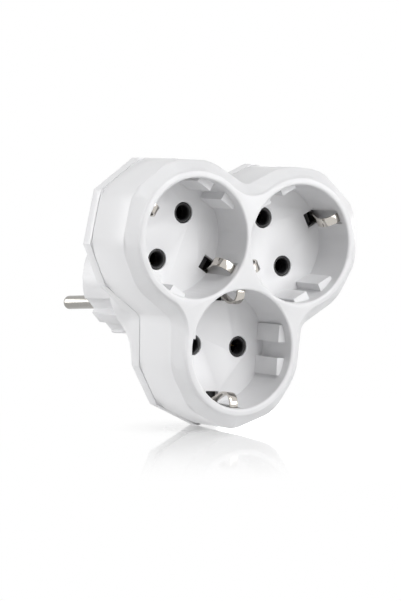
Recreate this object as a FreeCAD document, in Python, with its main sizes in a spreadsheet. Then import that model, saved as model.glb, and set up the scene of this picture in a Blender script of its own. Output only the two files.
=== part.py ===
"""Three-way socket adapter: a lobed housing with three earthed sockets and an inclined plug.

Frame, in millimetres: the origin lies on the adapter's three-fold axis in the plane of the
socket rims, +Y points into the adapter towards the plug, +Z is up and +X is to the right as
seen from the front.
"""
import FreeCAD
import Part
import math
import os

from FreeCAD import Placement, Rotation, Vector

# Driving dimensions, in millimetres and degrees

SIZES = {
    # Lobed outline of the housing, as radii and angles about each socket's axis
    "socket_circle_radius": 24.7,
    "tip_corner_radius": 28.3,
    "shoulder_corner_radius": 27.7,
    "shoulder_corner_angle": 39.4,
    "flank_corner_radius": 27.3,
    "flank_corner_angle": 72.4,
    "valley_radius": 31.2,
    "valley_rounding": 4.5,
    # Crest around the sockets and the bevel behind it
    "crest_radius": 23.2,
    "crest_valley_rounding": 12.0,
    "crest_rounding": 1.0,
    "bevel_depth": 4.4,
    # Walls and the seam between the two housings
    "wall": 2.2,
    "seam_setback": 4.9,
    "seam_groove_width": 0.5,
    "seam_groove_depth": 0.4,
    "rear_edge_height": 5.1,
    "lip_height": 1.6,
    "lip_thickness": 1.0,
    "lip_clearance": 0.15,
    "hollow_start_depth": 6.2,
    # Socket wells
    "well_depth": 17.0,
    "well_mouth_radius": 20.4,
    "well_floor_radius": 19.9,
    "well_rim_rounding": 0.8,
    "cup_wall": 2.1,
    "floor_thickness": 2.0,
    "rib_start_depth": 3.7,
    "rib_gap": 5.5,
    "rib_width": 6.0,
    "rib_face_radius": 17.2,
    "earth_slot_width": 5.2,
    "earth_slot_inner_radius": 15.7,
    "earth_slot_outer_radius": 21.0,
    "earth_slot_start_depth": 2.6,
    "pin_spacing": 19.0,
    "pin_hole_radius": 3.7,
    # Insulating inserts behind the well floors
    "insert_thickness": 2.0,
    "insert_half_length": 14.4,
    "insert_half_width": 6.8,
    "insert_tongue_reach": 18.6,
    "insert_tongue_width": 7.2,
    "sleeve_radius": 3.6,
    "sleeve_bore_radius": 2.55,
    "sleeve_recess": 0.7,
    "insert_boss_radius": 4.3,
    "insert_boss_height": 2.0,
    # Spring contacts, busbars and earth parts
    "contact_radius": 3.2,
    "contact_bore_radius": 2.45,
    "contact_setback": 3.0,
    "contact_end_setback": 13.0,
    "contact_slot_width": 0.8,
    "contact_slot_length": 5.5,
    "contact_clearance": 0.05,
    "busbar_thickness": 0.8,
    "line_busbar_setback": 6.0,
    "neutral_busbar_setback": 9.6,
    "busbar_inner_radius": 14.0,
    "busbar_outer_radius": 18.0,
    "busbar_arm_width": 5.0,
    "busbar_eye_width": 1.5,
    "earth_strip_width": 4.4,
    "earth_strip_thickness": 0.8,
    "earth_strip_gap": 0.3,
    "earth_leg_radius": 19.9,
    "earth_bend_radius": 1.5,
    "clip_foot_depth": 17.5,
    "clip_shoulder_depth": 9.0,
    "clip_shoulder_rounding": 5.0,
    "clip_peak_radius": 15.9,
    "clip_front_depth": 3.9,
    "clip_front_rounding": 3.4,
    "clip_tip_radius": 20.3,
    "earth_star_radius": 9.5,
    # Screws that hold the housings together
    "screw_circle_radius": 24.6,
    "screw_post_radius": 2.7,
    "screw_boss_radius": 3.9,
    "screw_seat_height": 2.3,
    "screw_engagement": 8.9,
    "screw_shank_radius": 1.2,
    "screw_hole_radius": 1.5,
    "screw_head_radius": 2.3,
    "screw_head_height": 1.8,
    "screw_head_clearance": 0.4,
    "screw_drive_width": 0.7,
    "screw_drive_depth": 0.8,
    # Plug, inclined to the sockets' axis
    "plug_tilt": 15.5,
    "plug_heading": 199.0,
    "plug_roll": 40.0,
    "flange_x": -11.67,
    "flange_height": 12.86,
    "flange_z": -3.74,
    "flange_radius": 22.5,
    "head_length": 16.75,
    "head_face_radius": 18.4,
    "head_root_radius": 18.8,
    "head_face_rounding": 0.8,
    "head_bore_radius": 12.6,
    "head_face_thickness": 3.0,
    "guide_floor_height": 15.0,
    "guide_half_width": 9.0,
    "tongue_width": 5.0,
    "tongue_face_height": 16.8,
    "tongue_rise_angle": 7.8,
    "plug_pin_radius": 2.4,
    "plug_pin_length": 19.0,
    "plug_pin_tip_rounding": 1.9,
    "plug_pin_clearance": 0.05,
    "pin_root_radius": 2.6,
    "pin_collar_radius": 2.9,
    "pin_collar_height": 2.0,
    "pin_tail_radius": 1.8,
    "pin_tail_end": 13.0,
    "retainer_thickness": 3.0,
    "retainer_clearance": 0.2,
    "riser_width": 4.0,
    "riser_start": 9.0,
    "side_contact_start": 7.0,
    "side_contact_clearance": 0.3,
    "side_contact_radius": 18.1,
    "side_groove_floor_radius": 16.9,
    "tip_pocket_clearance": 0.3,
}

# Depths that follow from the sizes above

DERIVED = {
    "floor_back_depth": "well_depth + floor_thickness",
    "seam_depth": "floor_back_depth + seam_setback",
    "rear_edge_depth": "seam_depth + rear_edge_height",
    "contact_end_depth": "floor_back_depth + contact_end_setback",
    "line_busbar_depth": "floor_back_depth + line_busbar_setback",
    "neutral_busbar_depth": "floor_back_depth + neutral_busbar_setback",
    "screw_seat_depth": "seam_depth + screw_seat_height",
    "screw_end_depth": "seam_depth - screw_engagement",
}

LOBES = {"left": 150.0, "right": 30.0, "bottom": 270.0}
POLES = {"line": 1, "neutral": -1}
MARGIN = 1.0                     # how far a cutting solid runs past the face that it opens
CREST_STEPS = 3                  # flat steps that round the crest's edge

doc = FreeCAD.newDocument("socket_adapter")
sheet = doc.addObject("Spreadsheet::Sheet", "Sizes")
cells = [(alias, str(number)) for alias, number in SIZES.items()]
cells += [(alias, "=" + formula) for alias, formula in DERIVED.items()]
for row, (alias, content) in enumerate(cells, start=1):
    sheet.set("A%d" % row, alias)
    sheet.set("B%d" % row, content)
    sheet.setAlias("B%d" % row, alias)
doc.recompute()


def size(alias):
    """A driving dimension, read from the sheet."""
    return float(sheet.get(alias))


def value(expression):
    """The number that an expression over the sheet gives."""
    return float(sheet.evalExpression(str(expression)))


# Frames: X radial, Y into the adapter and Z tangential at each socket; X sideways, Y outward
# and Z up at the plug's face

WHOLE = Placement()
UPRIGHT_TO_DEPTH = Rotation(Vector(1, 0, 0), -90)


def socket_frame(lobe):
    """The frame of one socket, on its axis in the plane of the rims."""
    turn = Rotation(Vector(0, 1, 0), -LOBES[lobe])
    return Placement(turn.multVec(Vector(size("socket_circle_radius"), 0, 0)), turn)


def plug_frame():
    """The frame of the plug, at the centre of its face, with Z along the line of its pins."""
    tilt = math.radians(size("plug_tilt"))
    heading = math.radians(size("plug_heading"))
    outward = Vector(math.sin(tilt) * math.cos(heading), math.cos(tilt), math.sin(tilt) * math.sin(heading))
    side = outward.cross(Vector(0, 0, 1)).normalize()
    up = side.cross(outward)
    flange = Vector(size("flange_x"), size("rear_edge_depth") + size("flange_height"), size("flange_z"))
    centre = flange + outward * size("head_length")
    upright = Rotation(side, outward, up, "YXZ")
    return Placement(centre, upright.multiply(Rotation(Vector(0, 1, 0), size("plug_roll"))))


SOCKETS = {lobe: socket_frame(lobe) for lobe in LOBES}
PLUG = plug_frame()


# Document objects made of primitives

def add_box(label, corner, sides, frame=WHOLE, turn=Rotation()):
    """A box from its corner and its three sides, all expressions over the sheet."""
    box = doc.addObject("Part::Box", label)
    for side, expression in zip(("Length", "Width", "Height"), sides):
        box.setExpression(side, expression)
    box.Placement = frame * Placement(Vector(*[value(part) for part in corner]), turn)
    return box


def add_cylinder(label, start, radius, height, frame=WHOLE):
    """A cylinder along the frame's Y axis, from the centre of its first face."""
    cylinder = doc.addObject("Part::Cylinder", label)
    cylinder.setExpression("Radius", radius)
    cylinder.setExpression("Height", height)
    cylinder.Placement = frame * Placement(Vector(*[value(part) for part in start]), UPRIGHT_TO_DEPTH)
    return cylinder


def add_cone(label, start, first_radius, last_radius, height, frame=WHOLE):
    """A cone along the frame's Y axis, from the centre of its first face."""
    cone = doc.addObject("Part::Cone", label)
    cone.setExpression("Radius1", first_radius)
    cone.setExpression("Radius2", last_radius)
    cone.setExpression("Height", height)
    cone.Placement = frame * Placement(Vector(*[value(part) for part in start]), UPRIGHT_TO_DEPTH)
    return cone


def add_shape(label, shape, frame=WHOLE):
    """A shape worked out from the sheet's values, placed in its frame."""
    feature = doc.addObject("Part::Feature", label)
    feature.Shape = shape
    feature.Placement = frame
    return feature


def join(label, pieces):
    """The union of several objects."""
    union = doc.addObject("Part::MultiFuse", label)
    union.Shapes = pieces
    union.Refine = True
    return union


def cut(label, base, tools):
    """An object less several others."""
    difference = doc.addObject("Part::Cut", label)
    difference.Base = base
    difference.Tool = tools[0] if len(tools) == 1 else join(label + "_cutters", tools)
    difference.Refine = True
    return difference


def turned_body(label, profile, frame, edge_rounding=None):
    """A body turned about the frame's Y axis from (radius, place along Y) expressions."""
    body = doc.addObject("PartDesign::Body", label)
    sketch = body.newObject("Sketcher::SketchObject", label + "_profile")
    plane = [feature for feature in body.Origin.OriginFeatures if feature.Role == "XY_Plane"][0]
    sketch.AttachmentSupport = [(plane, "")]
    sketch.MapMode = "FlatFace"
    corners = [Vector(value(radius), value(place), 0) for radius, place in profile]
    draw_profile(sketch, corners, profile)
    turned = body.newObject("PartDesign::Revolution", label + "_turned")
    turned.Profile = sketch
    turned.ReferenceAxis = (sketch, ["V_Axis"])
    turned.Angle = 360
    body.Tip = turned
    if edge_rounding:
        doc.recompute()
        place, radius = edge_rounding
        rounded = body.newObject("PartDesign::Fillet", label + "_rounding")
        rounded.Base = (turned, edges_at_depth(turned.Shape, value(place)))
        rounded.setExpression("Radius", radius)
        body.Tip = rounded
    body.Placement = frame
    return body


def draw_profile(sketch, corners, profile):
    """Draw a closed outline and tie each corner to its expressions."""
    from Sketcher import Constraint
    for index, corner in enumerate(corners):
        sketch.addGeometry(Part.LineSegment(corner, corners[(index + 1) % len(corners)]), False)
    for index in range(len(corners)):
        sketch.addConstraint(Constraint("Coincident", index, 2, (index + 1) % len(corners), 1))
    for index, (radius, place) in enumerate(profile):
        for kind, expression, number in (("DistanceX", radius, corners[index].x),
                                         ("DistanceY", place, corners[index].y)):
            row = sketch.addConstraint(Constraint(kind, -1, 1, index, 1, number))
            sketch.setExpression("Constraints[%d]" % row, str(expression))


def edges_at_depth(shape, depth):
    """The names of a shape's round edges that lie in one plane across Y."""
    names = []
    for number, edge in enumerate(shape.Edges, start=1):
        ends = [vertex.Point.y for vertex in edge.Vertexes]
        round_edge = hasattr(edge.Curve, "Radius")
        if round_edge and all(abs(end - depth) < 1e-6 for end in ends):
            names.append("Edge%d" % number)
    return names


# Outlines: 21 edges in every section, so that each edge meets its partner in the next one

def polar(centre, radius, degrees):
    """A point of the XZ plane, from a centre, a radius and an angle."""
    angle = math.radians(degrees)
    return Vector(centre.x + radius * math.cos(angle), 0, centre.z + radius * math.sin(angle))


def line_meeting(first, first_way, second, second_way):
    """The point where two lines of the XZ plane meet."""
    across = first_way.x * second_way.z - first_way.z * second_way.x
    gap = second - first
    return first + first_way * ((gap.x * second_way.z - gap.z * second_way.x) / across)


def housing_corners(inset):
    """The outline's sharp corners, six for each lobe, moved inward by an inset."""
    corners = []
    for degrees in sorted(LOBES.values()):
        centre = polar(Vector(), size("socket_circle_radius"), degrees)
        for radius, angle in ((size("flank_corner_radius"), -size("flank_corner_angle")),
                              (size("shoulder_corner_radius"), -size("shoulder_corner_angle")),
                              (size("tip_corner_radius"), 0.0),
                              (size("shoulder_corner_radius"), size("shoulder_corner_angle")),
                              (size("flank_corner_radius"), size("flank_corner_angle"))):
            corners.append(polar(centre, radius, degrees + angle))
        corners.append(polar(Vector(), size("valley_radius"), degrees + 60))
    sides = []
    for index, corner in enumerate(corners):
        way = (corners[(index + 1) % len(corners)] - corner).normalize()
        sides.append((corner + Vector(-way.z, 0, way.x) * inset, way))
    return [line_meeting(*sides[index - 1], *sides[index]) for index in range(len(sides))]


def at_depth(points, depth):
    """The same points moved to one depth."""
    return [Vector(point.x, depth, point.z) for point in points]


def housing_edges(inset, depth):
    """The faceted outline: four facets, a flank, a valley arc and a flank for each lobe."""
    corners = housing_corners(inset)
    rounding = size("valley_rounding") + inset
    edges = []
    for first in range(0, len(corners), 6):
        for index in range(first, first + 4):
            edges.append((corners[index], None, corners[index + 1]))
        before, valley, after = corners[first + 4], corners[first + 5], corners[(first + 6) % len(corners)]
        to_before = (before - valley).normalize()
        to_after = (after - valley).normalize()
        half_angle = to_before.getAngle(to_after) / 2
        bisector = (to_before + to_after).normalize()
        reach = rounding / math.tan(half_angle)
        middle = valley + bisector * (rounding / math.sin(half_angle) - rounding)
        edges.append((before, None, valley + to_before * reach))
        edges.append((valley + to_before * reach, middle, valley + to_after * reach))
        edges.append((valley + to_after * reach, None, after))
    return [draw_edge(at_depth([point for point in edge if point], depth)) for edge in edges]


def draw_edge(points):
    """A straight edge through two points, or an arc through three."""
    if len(points) == 2:
        return Part.LineSegment(*points).toShape()
    return Part.Arc(*points).toShape()


def crest_edges(inset, depth):
    """The crest's outline: arcs about the sockets, joined by hollow arcs in the valleys."""
    radius = size("crest_radius") - inset
    hollow = size("crest_valley_rounding") + inset
    circle = size("socket_circle_radius")
    half_spacing = circle * math.sin(math.radians(60))
    hollow_centre = circle / 2 + math.sqrt((radius + hollow) ** 2 - half_spacing ** 2)
    edges = []
    for degrees in sorted(LOBES.values()):
        centre = polar(Vector(), circle, degrees)
        next_centre = polar(Vector(), circle, degrees + 120)
        pivot = polar(Vector(), hollow_centre, degrees + 60)
        leave = angle_of(pivot - centre) - degrees
        stops = [-size("flank_corner_angle"), -size("shoulder_corner_angle"), 0.0,
                 size("shoulder_corner_angle"), size("flank_corner_angle"), leave % 360]
        for start, end in zip(stops, stops[1:]):
            edges.append([polar(centre, radius, degrees + angle) for angle in (start, (start + end) / 2, end)])
        edges.append([polar(centre, radius, degrees + leave), polar(Vector(), hollow_centre - hollow, degrees + 60),
                      polar(next_centre, radius, degrees + 120 - leave)])
        start, end = -leave % 360 - 360, -size("flank_corner_angle")
        edges.append([polar(next_centre, radius, degrees + 120 + angle)
                      for angle in (start, (start + end) / 2, end)])
    return [draw_edge(at_depth(points, depth)) for points in edges]


def angle_of(point):
    """The angle of a point of the XZ plane, in degrees."""
    return math.degrees(math.atan2(point.z, point.x))


def flange_edges(edges, radius, offset):
    """A circle across the plug's axis, cut where the outline's ends point from its centre."""
    centre = PLUG.multVec(Vector(0, offset, 0))
    side = PLUG.Rotation.multVec(Vector(1, 0, 0))
    up = PLUG.Rotation.multVec(Vector(0, 0, 1))
    stops = []
    for edge in edges:
        way = edge.firstVertex(True).Point - centre
        stops.append(math.atan2(way.dot(up), way.dot(side)))
    stops.append(stops[0])
    arcs = []
    for start, end in zip(stops, stops[1:]):
        sweep = (end - start) % (2 * math.pi)
        points = [centre + side * (radius * math.cos(angle)) + up * (radius * math.sin(angle))
                  for angle in (start, start + sweep / 2, start + sweep)]
        arcs.append(Part.Arc(*points).toShape())
    return arcs


def ruled_solid(first_edges, last_edges):
    """A solid between two sections, ruled from each edge to its partner."""
    faces = [Part.makeRuledSurface(first, last) for first, last in zip(first_edges, last_edges)]
    faces.append(Part.Face(Part.Wire(first_edges)))
    faces.append(Part.Face(Part.Wire(last_edges)))
    shell = Part.makeShell(faces)
    shell.sewShape()
    solid = Part.makeSolid(shell)
    if solid.Volume < 0:
        solid.reverse()
    return solid


def prism(inset, start, end):
    """The housing's outline, run straight from one depth to another."""
    outline = Part.Face(Part.Wire(housing_edges(inset, start)))
    return outline.extrude(Vector(0, end - start, 0))


# Front housing: bevelled and crested outside, three wells with ribs and slots inside

def front_blank():
    """The solid outside of the front housing."""
    rounding = size("crest_rounding")
    outside = prism(0, size("bevel_depth"), size("seam_depth"))
    lower = housing_edges(0, size("bevel_depth"))
    for step in range(CREST_STEPS + 1):
        angle = math.radians(90 * step / CREST_STEPS)
        upper = crest_edges(rounding * (1 - math.cos(angle)), rounding * (1 - math.sin(angle)))
        outside = outside.fuse(ruled_solid(lower, upper))
        lower = upper
    return outside.removeSplitter()


def well_cutter(lobe):
    """A socket well with a rounded mouth, turned about the socket's axis."""
    rounding = size("well_rim_rounding")
    mouth = size("well_mouth_radius")
    corner = Vector(mouth + rounding, 0, 0)
    middle = Vector(mouth + rounding * (1 - math.sqrt(0.5)), rounding * (1 - math.sqrt(0.5)), 0)
    foot = Vector(mouth, rounding, 0)
    floor = Vector(size("well_floor_radius"), size("well_depth"), 0)
    edges = [Part.LineSegment(Vector(0, -MARGIN, 0), Vector(corner.x, -MARGIN, 0)).toShape(),
             Part.LineSegment(Vector(corner.x, -MARGIN, 0), corner).toShape(),
             Part.Arc(corner, middle, foot).toShape(),
             Part.LineSegment(foot, floor).toShape(),
             Part.LineSegment(floor, Vector(0, floor.y, 0)).toShape(),
             Part.LineSegment(Vector(0, floor.y, 0), Vector(0, -MARGIN, 0)).toShape()]
    turned = Part.Face(Part.Wire(edges)).revolve(Vector(), Vector(0, 1, 0), 360)
    return add_shape("well_" + lobe, turned, SOCKETS[lobe])


def well_ribs(lobe):
    """Four guide ribs, a pair at each end of the pin line."""
    reach = "Sizes.well_mouth_radius - Sizes.rib_face_radius"
    height = "Sizes.well_depth - Sizes.rib_start_depth + Sizes.floor_thickness / 2"
    ribs = []
    for end in (1, -1):
        for side in (1, -1):
            across = "Sizes.rib_gap / 2" if side > 0 else "-Sizes.rib_gap / 2 - Sizes.rib_width"
            along = "Sizes.rib_face_radius" if end > 0 else "-Sizes.well_mouth_radius"
            ribs.append(add_box("rib_" + lobe, (across, "Sizes.rib_start_depth", along),
                                ("Sizes.rib_width", height, reach), SOCKETS[lobe]))
    return ribs


def well_openings(lobe):
    """The pin holes and the earth slots, cut through a well's floor."""
    openings = []
    through = "Sizes.floor_thickness + %s" % (2 * MARGIN)
    below_floor = "Sizes.well_depth - %s" % MARGIN
    for pole in POLES.values():
        openings.append(add_cylinder("pin_hole_" + lobe,
                                     (0, below_floor, "%d * Sizes.pin_spacing / 2" % pole),
                                     "Sizes.pin_hole_radius", through, SOCKETS[lobe]))
    slot_length = "Sizes.earth_slot_outer_radius - Sizes.%s"
    for end in (1, -1):
        for start, depth in (("earth_slot_inner_radius", below_floor),
                             ("well_floor_radius", "Sizes.earth_slot_start_depth")):
            near = "Sizes.%s" % start if end > 0 else "-Sizes.earth_slot_outer_radius"
            if start == "well_floor_radius":
                near = near + " - Sizes.cup_wall / 2" if end > 0 else near
                length = slot_length % start + " + Sizes.cup_wall / 2"
            else:
                length = slot_length % start
            openings.append(add_box("earth_slot_" + lobe, (near, depth, "-Sizes.earth_slot_width / 2"),
                                    (length, "Sizes.well_depth + Sizes.floor_thickness + %s - (%s)"
                                     % (MARGIN, depth), "Sizes.earth_slot_width"), SOCKETS[lobe]))
    return openings


def build_front_housing():
    """The front moulding, hollow behind its wells."""
    inside = add_shape("front_inside", prism(size("wall"), size("hollow_start_depth"), size("seam_depth") + MARGIN))
    kept = []
    wells = []
    ribs = []
    openings = []
    for lobe, frame in SOCKETS.items():
        kept.append(add_cylinder("cup_" + lobe, (0, 0, 0), "Sizes.well_mouth_radius + Sizes.cup_wall",
                                 "Sizes.well_depth + Sizes.floor_thickness", frame))
        kept.append(add_cylinder("screw_post_" + lobe, ("Sizes.screw_circle_radius", 0, 0),
                                 "Sizes.screw_post_radius", "Sizes.seam_depth", frame))
        wells.append(well_cutter(lobe))
        ribs += well_ribs(lobe)
        openings += well_openings(lobe)
        openings.append(add_cylinder("screw_hole_" + lobe,
                                     ("Sizes.screw_circle_radius", "Sizes.screw_end_depth - 0.5", 0),
                                     "Sizes.screw_shank_radius", "Sizes.seam_depth - Sizes.screw_end_depth + %s"
                                     % MARGIN, frame))
    hollow = cut("front_hollow", inside, kept)
    shell = cut("front_shell", add_shape("front_blank", front_blank()), wells + [hollow])
    return cut("front_housing", join("ribbed_front", [shell] + ribs), openings)


# Rear housing: a straight rim, a hollow cover drawn in to the inclined flange, and the plug's head

def rear_outside():
    """The solid outside of the rear housing without the plug's head."""
    seam = size("seam_depth")
    groove_end = seam + size("seam_groove_width")
    rim = size("rear_edge_depth")
    edges = housing_edges(0, rim)
    cover = ruled_solid(edges, flange_edges(edges, size("flange_radius"), -size("head_length")))
    band = prism(size("seam_groove_depth"), seam, groove_end)
    return band.fuse([prism(0, groove_end, rim), cover]).removeSplitter()


def rear_inside():
    """The hollow of the rear housing, one wall inside its outside."""
    wall = size("wall")
    rim = size("rear_edge_depth")
    edges = housing_edges(wall, rim)
    cover = ruled_solid(edges, flange_edges(edges, size("flange_radius") - wall, -size("head_length") - wall))
    return prism(wall, size("seam_depth") - MARGIN, rim).fuse(cover).removeSplitter()


def rear_lip():
    """The lip that locates the two housings, inside the front one's wall."""
    outer = size("wall") + size("lip_clearance")
    start = size("seam_depth") - size("lip_height")
    end = size("seam_depth") + size("lip_height")
    ring = prism(outer, start, end).cut(prism(outer + size("lip_thickness"), start - MARGIN, end + MARGIN))
    root = prism(0, size("seam_depth"), end).cut(prism(size("wall") + size("lip_thickness"),
                                                       size("seam_depth") - MARGIN, end + MARGIN))
    return ring.fuse(root.common(prism(outer - size("lip_clearance"), size("seam_depth"), end)))


def guide_cutters():
    """The recesses on the plug's head that clear a wall socket's ribs, and the tongues between."""
    cutters = []
    half_tongue = "Sizes.tongue_width / 2"
    for end in (1, -1):
        for side in (1, -1):
            across = half_tongue if side > 0 else "-Sizes.guide_half_width"
            up = "Sizes.guide_floor_height" if end > 0 else "-Sizes.head_root_radius - %s" % MARGIN
            cutters.append(add_box("guide_recess", (across, "-Sizes.head_length", up),
                                   ("Sizes.guide_half_width - Sizes.tongue_width / 2",
                                    "Sizes.head_length + %s" % MARGIN,
                                    "Sizes.head_root_radius + %s - Sizes.guide_floor_height" % MARGIN), PLUG))
        turn = Rotation(Vector(0, 1, 0), 0 if end > 0 else 180)
        flipped = PLUG * Placement(Vector(), turn)
        slope = flipped * Placement(Vector(0, 0, size("tongue_face_height")),
                                    Rotation(Vector(1, 0, 0), -size("tongue_rise_angle")))
        cutters.append(add_box("tongue_slope", ("-Sizes.tongue_width / 2 - %s" % MARGIN, "-Sizes.head_length", 0),
                               ("Sizes.tongue_width + %s" % (2 * MARGIN), "Sizes.head_length + %s" % (2 * MARGIN),
                                "Sizes.head_root_radius"), slope))
    return cutters


def plug_cutters():
    """The pin holes, the side grooves of the earth contacts and their slots to the inside."""
    cutters = []
    for pole in POLES.values():
        cutters.append(add_cylinder("plug_pin_hole",
                                    (0, "-Sizes.head_face_thickness - %s" % MARGIN,
                                     "%d * Sizes.pin_spacing / 2" % pole),
                                    "Sizes.pin_root_radius + Sizes.plug_pin_clearance",
                                    "Sizes.head_face_thickness + %s" % (2 * MARGIN), PLUG))
    width = "Sizes.earth_strip_width + 2 * Sizes.side_contact_clearance"
    for side in (1, -1):
        near = "Sizes.side_groove_floor_radius" if side > 0 else "-Sizes.head_root_radius - %s" % MARGIN
        cutters.append(add_box("side_groove", (near, "-Sizes.head_length", "-(%s) / 2" % width),
                               ("Sizes.head_root_radius + %s - Sizes.side_groove_floor_radius" % MARGIN,
                                "Sizes.head_length - Sizes.side_contact_start", width), PLUG))
        reach = "Sizes.side_contact_radius + Sizes.side_contact_clearance - Sizes.side_groove_floor_radius"
        near = ("Sizes.side_groove_floor_radius" if side > 0
                else "-Sizes.side_contact_radius - Sizes.side_contact_clearance")
        cutters.append(add_box("side_slot", (near, "-Sizes.head_length - Sizes.wall - %s" % MARGIN,
                                             "-(%s) / 2" % width),
                               (reach, "Sizes.wall + %s" % (2 * MARGIN), width), PLUG))
    return cutters


def socket_rear_cutters(lobe):
    """The screw's hole and seat, and the pockets that take the tips of inserted pins."""
    frame = SOCKETS[lobe]
    cutters = [add_cylinder("screw_clearance_" + lobe, ("Sizes.screw_circle_radius", "Sizes.seam_depth - %s" % MARGIN, 0),
                            "Sizes.screw_hole_radius", "Sizes.rear_edge_depth", frame),
               add_cylinder("screw_seat_" + lobe, ("Sizes.screw_circle_radius", "Sizes.screw_seat_depth", 0),
                            "Sizes.screw_head_radius + Sizes.screw_head_clearance", "Sizes.rear_edge_depth",
                            frame)]
    pocket = "Sizes.plug_pin_radius + Sizes.tip_pocket_clearance"
    for pole in POLES.values():
        place = "%d * Sizes.pin_spacing / 2" % pole
        centre_depth = "Sizes.well_depth + Sizes.plug_pin_length - Sizes.plug_pin_radius"
        cutters.append(add_cylinder("tip_pocket_" + lobe, (0, "Sizes.seam_depth", place), pocket,
                                    centre_depth + " - Sizes.seam_depth", frame))
        end = doc.addObject("Part::Sphere", "tip_pocket_end_" + lobe)
        end.setExpression("Radius", pocket)
        end.Placement = frame * Placement(Vector(0, value(centre_depth), value(place)), Rotation())
        cutters.append(end)
    return cutters


def build_rear_housing():
    """The rear moulding with the plug's head."""
    outside = add_shape("rear_outside", rear_outside())
    straight = "Sizes.head_length + Sizes.wall - Sizes.head_face_rounding"
    head = add_cone("plug_head", (0, "-Sizes.head_length - Sizes.wall", 0), "Sizes.head_root_radius",
                    "Sizes.head_face_radius", straight, PLUG)
    rounding = add_cone("head_edge", (0, "-Sizes.head_face_rounding", 0), "Sizes.head_face_radius",
                        "Sizes.head_face_radius - Sizes.head_face_rounding", "Sizes.head_face_rounding", PLUG)
    inside = add_shape("rear_inside", rear_inside())
    bore_depth = "Sizes.head_length + Sizes.wall + %s - Sizes.head_face_thickness" % MARGIN
    bore = add_cylinder("head_bore", (0, "-Sizes.head_length - Sizes.wall - %s" % MARGIN, 0),
                        "Sizes.head_bore_radius", bore_depth, PLUG)
    bosses = [add_cylinder("screw_boss_" + lobe, ("Sizes.screw_circle_radius", "Sizes.seam_depth - %s" % MARGIN, 0),
                           "Sizes.screw_boss_radius", "Sizes.rear_edge_depth", frame)
              for lobe, frame in SOCKETS.items()]
    hollow = join("rear_hollow", [cut("rear_open_inside", inside, bosses), bore])
    solid = join("rear_solid", [outside, head, rounding])
    cutters = guide_cutters() + plug_cutters()
    for lobe in SOCKETS:
        cutters += socket_rear_cutters(lobe)
    shell = cut("rear_shell", solid, [hollow])
    lip = cut("rear_lip", add_shape("rear_lip_ring", rear_lip()),
              [add_cylinder("post_relief_" + lobe, ("Sizes.screw_circle_radius", "Sizes.seam_depth - 2 * Sizes.lip_height", 0),
                            "Sizes.screw_post_radius + Sizes.lip_clearance", "2 * Sizes.lip_height", frame)
               for lobe, frame in SOCKETS.items()])
    return cut("rear_housing", join("rear_shell_with_lip", [shell, lip]), cutters)


# Inserts and spring contacts

def build_insert(lobe):
    """The black plate behind a well, with a sleeve in each pin hole and a boss round each contact."""
    frame = SOCKETS[lobe]
    back = "Sizes.well_depth + Sizes.floor_thickness"
    plate = add_box("insert_plate_" + lobe, ("-Sizes.insert_half_width", back, "-Sizes.insert_half_length"),
                    ("2 * Sizes.insert_half_width", "Sizes.insert_thickness", "2 * Sizes.insert_half_length"), frame)
    tongue = add_box("insert_tongue_" + lobe, ("-Sizes.insert_tongue_reach", back, "-Sizes.insert_tongue_width / 2"),
                     ("2 * Sizes.insert_tongue_reach", "Sizes.insert_thickness", "Sizes.insert_tongue_width"), frame)
    pieces = [plate, tongue]
    holes = []
    for pole in POLES.values():
        place = "%d * Sizes.pin_spacing / 2" % pole
        front = "Sizes.well_depth + Sizes.sleeve_recess"
        pieces.append(add_cylinder("sleeve_" + lobe, (0, front, place), "Sizes.sleeve_radius",
                                   "Sizes.floor_thickness - Sizes.sleeve_recess", frame))
        pieces.append(add_cylinder("insert_boss_" + lobe, (0, back, place), "Sizes.insert_boss_radius",
                                   "Sizes.insert_thickness + Sizes.insert_boss_height", frame))
        holes.append(add_cylinder("sleeve_bore_" + lobe, (0, "Sizes.well_depth", place), "Sizes.sleeve_bore_radius",
                                  "Sizes.floor_thickness + Sizes.contact_setback + %s" % MARGIN, frame))
        holes.append(add_cylinder("contact_seat_" + lobe, (0, back + " + Sizes.contact_setback", place),
                                  "Sizes.contact_radius + Sizes.contact_clearance",
                                  "Sizes.insert_thickness + Sizes.insert_boss_height", frame))
    return cut("socket_insert_" + lobe, join("insert_blank_" + lobe, pieces), holes)


def build_contact(pole, lobe):
    """A brass tube split twice from its front end, which grips one pin."""
    frame = SOCKETS[lobe]
    place = "%d * Sizes.pin_spacing / 2" % POLES[pole]
    start = "Sizes.well_depth + Sizes.floor_thickness + Sizes.contact_setback"
    tube = add_cylinder("contact_tube", (0, start, place), "Sizes.contact_radius",
                        "Sizes.contact_end_depth - (%s)" % start, frame)
    bore = add_cylinder("contact_bore", (0, start + " - %s" % MARGIN, place), "Sizes.contact_bore_radius",
                        "Sizes.contact_end_depth + %s - (%s)" % (2 * MARGIN, start), frame)
    slots = [add_box("contact_slot", ("-Sizes.contact_slot_width / 2", start + " - %s" % MARGIN,
                                      place + " - Sizes.contact_radius - %s" % MARGIN),
                     ("Sizes.contact_slot_width", "Sizes.contact_slot_length + %s" % MARGIN,
                      "2 * Sizes.contact_radius + %s" % (2 * MARGIN)), frame),
             add_box("contact_slot", ("-Sizes.contact_radius - %s" % MARGIN, start + " - %s" % MARGIN,
                                      place + " - Sizes.contact_slot_width / 2"),
                     ("2 * Sizes.contact_radius + %s" % (2 * MARGIN), "Sizes.contact_slot_length + %s" % MARGIN,
                      "Sizes.contact_slot_width"), frame)]
    return cut("%s_contact_%s" % (pole, lobe), tube, [bore] + slots)


# Busbars: a ring with an arm and an eye for each contact, and a riser to the plug's pin

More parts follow.
